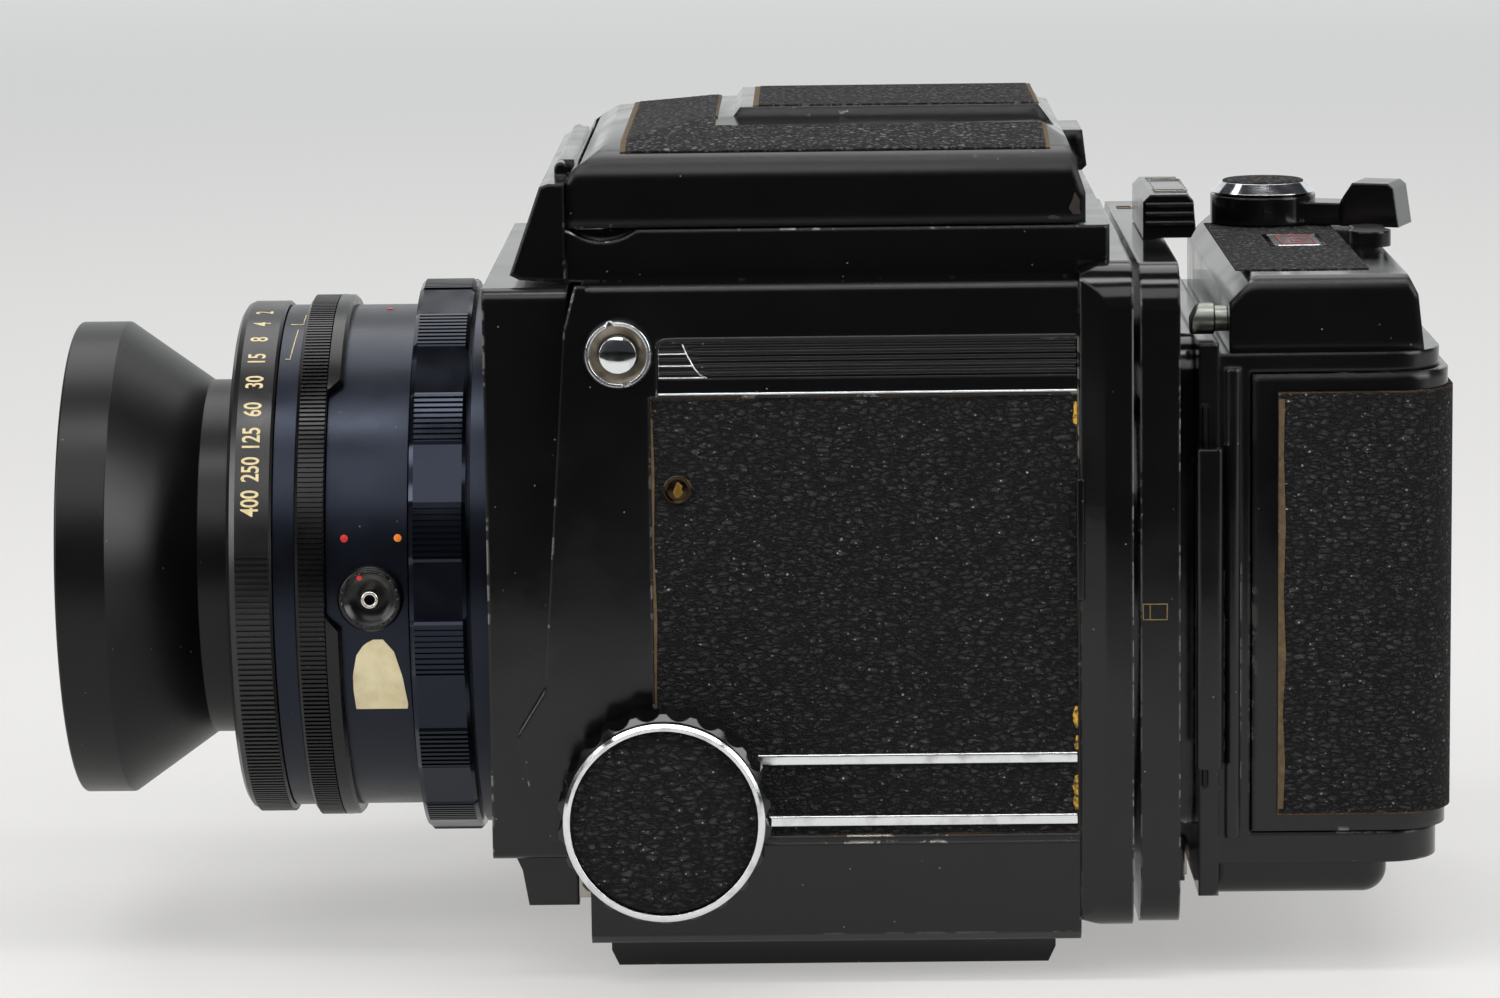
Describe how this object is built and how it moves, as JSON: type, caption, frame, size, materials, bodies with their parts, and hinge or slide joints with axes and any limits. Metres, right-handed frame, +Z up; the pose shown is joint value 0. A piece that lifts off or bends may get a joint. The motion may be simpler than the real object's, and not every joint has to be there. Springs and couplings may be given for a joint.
{
  "type": "medium format film camera",
  "caption": "Single lens reflex film camera with bellows focusing, a folding waist level finder and a revolving roll film back.",
  "frame": {"origin": "mouth of the tripod socket on the underside of the base plate", "axes": "+Z up, the lens looks along -X, the film magazine is at +X, -Y is the left hand side seen by the viewer"},
  "size_m": [0.2256, 0.1328, 0.1383],
  "materials": {
    "black_enamel": "gloss black enamel on a light alloy casting",
    "black_anodised": "satin black anodised light alloy",
    "blackened_steel": "blackened sheet steel",
    "bright_steel": "bright turned steel",
    "chromed_metal": "bright chrome",
    "leatherette": "pebbled leatherette",
    "bellows_cloth": "matt coated cloth",
    "clear_glass": "polished glass",
    "mirror_glass": "front silvered mirror",
    "black_plastic": "black moulded plastic"
  },
  "bodies": {
    "body": {"body_casting": "black_enamel", "lower_casing": "black_enamel", "base_plate": "black_enamel", "tripod_bush": "bright_steel", "side_leathers": "leatherette", "trim_panels": "black_anodised", "strap_lugs": "chromed_metal", "focusing_screen": "clear_glass", "finder_base": "black_enamel", "finder_nameplate": "black_enamel", "adapter_plate": "black_enamel"},
    "standard": {"front_standard": "black_enamel", "carriage": "black_enamel", "focus_racks": "bright_steel", "bellows": "bellows_cloth", "lens_flange": "black_anodised", "lens_barrel": "black_anodised", "sync_terminal": "bright_steel", "front_bezel": "black_anodised", "lens_glass": "clear_glass", "aperture_blades": "blackened_steel", "shutter_blades": "blackened_steel", "lens_hood": "black_anodised"},
    "focus_drive": {"focus_shaft": "bright_steel", "focus_pinions": "bright_steel", "focus_knobs": "black_anodised", "knob_rings": "chromed_metal"},
    "focus_lock": {"focus_lock_lever": "blackened_steel"},
    "breech_lock": {"breech_ring": "black_anodised"},
    "aperture_control": {"aperture_ring": "black_anodised"},
    "speed_control": {"speed_ring": "black_anodised"},
    "mirror": {"mirror_frame": "black_enamel", "mirror_glass": "mirror_glass"},
    "lid": {"finder_lid": "black_enamel"},
    "left_wing": {"wing_left": "blackened_steel"},
    "right_wing": {"wing_right": "blackened_steel"},
    "back_flap": {"rear_flap": "blackened_steel"},
    "magnifier": {"magnifier_frame": "black_enamel", "magnifier_lens": "clear_glass"},
    "revolving_back": {"revolving_plate": "black_enamel", "magazine_frame": "black_enamel", "magazine_top": "black_enamel", "magazine_bottom": "black_enamel", "latch_pin": "bright_steel", "pressure_plate": "blackened_steel"},
    "upper_lock": {"upper_slide_lock": "blackened_steel"},
    "lower_lock": {"lower_slide_lock": "blackened_steel"},
    "film_cover_slide": {"dark_slide": "blackened_steel", "dark_slide_handle": "blackened_steel"},
    "door": {"magazine_door": "black_enamel", "door_leather": "leatherette"},
    "winder": {"wind_lever": "black_anodised", "wind_cap": "chromed_metal"},
    "takeup": {"takeup_spool": "black_plastic"},
    "supply": {"supply_spool": "black_plastic"},
    "counter": {"counter_dial": "black_plastic"},
    "exposure_switch": {"exposure_lever": "bright_steel"},
    "shutter_button": {"release_button": "bright_steel"},
    "button_collar": {"release_collar": "blackened_steel"},
    "cocking": {"cocking_lever": "blackened_steel"}
  },
  "joints": [
    {"name": "focus_slide", "type": "slide", "parent": "body", "child": "standard", "axis": [-1, 0, 0], "range_m": [0, 0.046], "deforming": ["bellows"]},
    {"name": "focus_shaft_turn", "type": "hinge", "parent": "body", "child": "focus_drive", "pos_m": [-0.0271, 0, 0.03], "axis": [0, 1, 0], "range_deg": [0, 330]},
    {"name": "focus_lock_turn", "type": "hinge", "parent": "body", "child": "focus_lock", "pos_m": [-0.0271, 0, 0.03], "axis": [0, 1, 0], "range_deg": [0, 35]},
    {"name": "breech_turn", "type": "hinge", "parent": "standard", "child": "breech_lock", "pos_m": [-0.0634, 0, 0.0622], "axis": [1, 0, 0], "range_deg": [0, 30]},
    {"name": "aperture_turn", "type": "hinge", "parent": "standard", "child": "aperture_control", "pos_m": [-0.0833, 0, 0.0622], "axis": [1, 0, 0], "range_deg": [0, 42]},
    {"name": "speed_turn", "type": "hinge", "parent": "standard", "child": "speed_control", "pos_m": [-0.094, 0, 0.0622], "axis": [1, 0, 0], "range_deg": [-10, 85]},
    {"name": "mirror_lift", "type": "hinge", "parent": "body", "child": "mirror", "pos_m": [0.033, 0, 0.091], "axis": [0, 1, 0], "range_deg": [0, 45]},
    {"name": "lid_lift", "type": "hinge", "parent": "body", "child": "lid", "pos_m": [-0.043, 0, 0.1301], "axis": [0, -1, 0], "range_deg": [0, 90]},
    {"name": "left_wing_rise", "type": "hinge", "parent": "body", "child": "left_wing", "pos_m": [0.003, -0.0423, 0.1246], "axis": [1, 0, 0], "range_deg": [0, 90]},
    {"name": "right_wing_rise", "type": "hinge", "parent": "body", "child": "right_wing", "pos_m": [0.003, 0.0423, 0.1246], "axis": [-1, 0, 0], "range_deg": [0, 90]},
    {"name": "back_flap_rise", "type": "hinge", "parent": "body", "child": "back_flap", "pos_m": [0.0376, 0, 0.123], "axis": [0, 1, 0], "range_deg": [0, 90]},
    {"name": "magnifier_drop", "type": "hinge", "parent": "lid", "child": "magnifier", "pos_m": [0.0336, 0, 0.1292], "axis": [0, -1, 0], "range_deg": [0, 90]},
    {"name": "back_turn", "type": "hinge", "parent": "body", "child": "revolving_back", "pos_m": [0.0465, 0, 0.0622], "axis": [1, 0, 0], "range_deg": [0, 90]},
    {"name": "upper_lock_slide", "type": "slide", "parent": "revolving_back", "child": "upper_lock", "axis": [0, 1, 0], "range_m": [0, 0.008]},
    {"name": "lower_lock_slide", "type": "slide", "parent": "revolving_back", "child": "lower_lock", "axis": [0, 1, 0], "range_m": [0, 0.008]},
    {"name": "cover_slide_pull", "type": "slide", "parent": "revolving_back", "child": "film_cover_slide", "axis": [0, -1, 0], "range_m": [0, 0.088]},
    {"name": "door_swing", "type": "hinge", "parent": "revolving_back", "child": "door", "pos_m": [0.0936, 0.0462, 0.061], "axis": [0, 0, 1], "range_deg": [0, 110]},
    {"name": "wind_turn", "type": "hinge", "parent": "revolving_back", "child": "winder", "pos_m": [0.0745, 0.03, 0.115], "axis": [0, 0, 1], "range_deg": [0, 150], "stiffness_Nm_per_rad": 0.02, "springref_deg": -17.19},
    {"name": "takeup_turn", "type": "hinge", "parent": "revolving_back", "child": "takeup", "pos_m": [0.0745, 0.03, 0.0622], "axis": [0, 0, 1], "range_deg": [-5, 160]},
    {"name": "counter_turn", "type": "hinge", "parent": "revolving_back", "child": "counter", "pos_m": [0.077, 0.002, 0.11], "axis": [0, 0, 1], "range_deg": [-33, 2]},
    {"name": "supply_turn", "type": "hinge", "parent": "revolving_back", "child": "supply", "pos_m": [0.078, -0.032, 0.0622], "axis": [0, 0, 1], "continuous": true},
    {"name": "exposure_turn", "type": "hinge", "parent": "revolving_back", "child": "exposure_switch", "pos_m": [0.089, -0.008, 0.114], "axis": [0, 0, 1], "range_deg": [0, 40]},
    {"name": "button_press", "type": "slide", "parent": "body", "child": "shutter_button", "axis": [1, 0, 0], "range_m": [0, 0.0025], "stiffness_N_per_m": 1500, "springref_m": -0.001},
    {"name": "collar_turn", "type": "hinge", "parent": "body", "child": "button_collar", "pos_m": [-0.0412, 0.048, 0.0154], "axis": [1, 0, 0], "range_deg": [0, 90]},
    {"name": "cocking_stroke", "type": "hinge", "parent": "body", "child": "cocking", "pos_m": [-0.016, 0.0534, 0.066], "axis": [0, 1, 0], "range_deg": [0, 50], "stiffness_Nm_per_rad": 0.03, "springref_deg": -22.92}
  ],
  "couplings": [
    {"joint": "focus_shaft_turn", "follows": "focus_slide", "rad_per_m": 125},
    {"joint": "left_wing_rise", "follows": "lid_lift", "ratio": 1},
    {"joint": "right_wing_rise", "follows": "lid_lift", "ratio": 1},
    {"joint": "back_flap_rise", "follows": "lid_lift", "ratio": 1},
    {"joint": "magnifier_drop", "follows": "lid_lift", "ratio": 1},
    {"joint": "takeup_turn", "follows": "wind_turn", "ratio": 1},
    {"joint": "counter_turn", "follows": "wind_turn", "ratio": -0.2}
  ]
}
